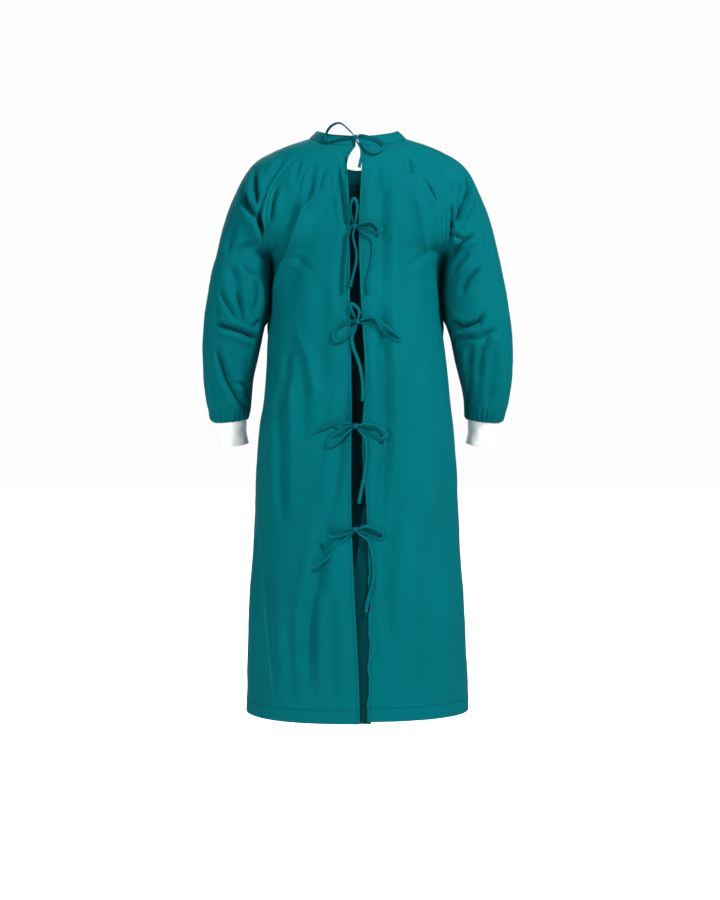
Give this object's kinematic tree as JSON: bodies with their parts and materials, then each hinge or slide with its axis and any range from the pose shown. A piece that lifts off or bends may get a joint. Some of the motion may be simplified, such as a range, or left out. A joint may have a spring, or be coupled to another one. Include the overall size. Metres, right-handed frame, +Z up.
{
  "type": "surgical gown",
  "caption": "Long back-opening surgical gown with raglan sleeves, white knit cuffs and bow ties down the back, hollow and held as it is worn.",
  "frame": {"origin": "between the shoulders, at the height where the neck seam crosses them", "axes": "+Z up, the back with its ties faces -Y, the chest +Y, and the wearer's right arm is at +X"},
  "size_m": [0.6545, 0.3315, 1.2139],
  "materials": {
    "gown_cloth": "matte plain-woven cotton and polyester",
    "tie_tape": "matte folded self-fabric tape",
    "knit_cuff": "matte fine rib knit"
  },
  "bodies": {
    "root": {"front_panel": "gown_cloth", "back_panel_left": "gown_cloth", "back_panel_right": "gown_cloth", "sleeve_back_left": "gown_cloth", "sleeve_front_left": "gown_cloth", "sleeve_back_right": "gown_cloth", "sleeve_front_right": "gown_cloth", "back_underlap": "gown_cloth", "neck_band": "gown_cloth", "cuff_left": "knit_cuff", "cuff_right": "knit_cuff", "tie_neck_knot": "tie_tape", "tie_neck_loop_left": "tie_tape", "tie_neck_loop_right": "tie_tape", "tie_neck_tail": "tie_tape", "tie_upper_knot": "tie_tape", "tie_upper_loop_up": "tie_tape", "tie_upper_loop_right": "tie_tape", "tie_upper_tail_left": "tie_tape", "tie_upper_tail_middle": "tie_tape", "tie_upper_tail_right": "tie_tape", "tie_middle_knot": "tie_tape", "tie_middle_loop_left": "tie_tape", "tie_middle_loop_right": "tie_tape", "tie_middle_tail": "tie_tape", "tie_middle_loop_up": "tie_tape", "tie_waist_knot": "tie_tape", "tie_waist_tail_left": "tie_tape", "tie_waist_loop_left": "tie_tape", "tie_waist_loop_right": "tie_tape", "tie_waist_tail_right": "tie_tape", "tie_lower_knot": "tie_tape", "tie_lower_loop_left": "tie_tape", "tie_lower_tail_left": "tie_tape", "tie_lower_loop_right": "tie_tape", "tie_lower_tail_right": "tie_tape"}
  },
  "joints": []
}
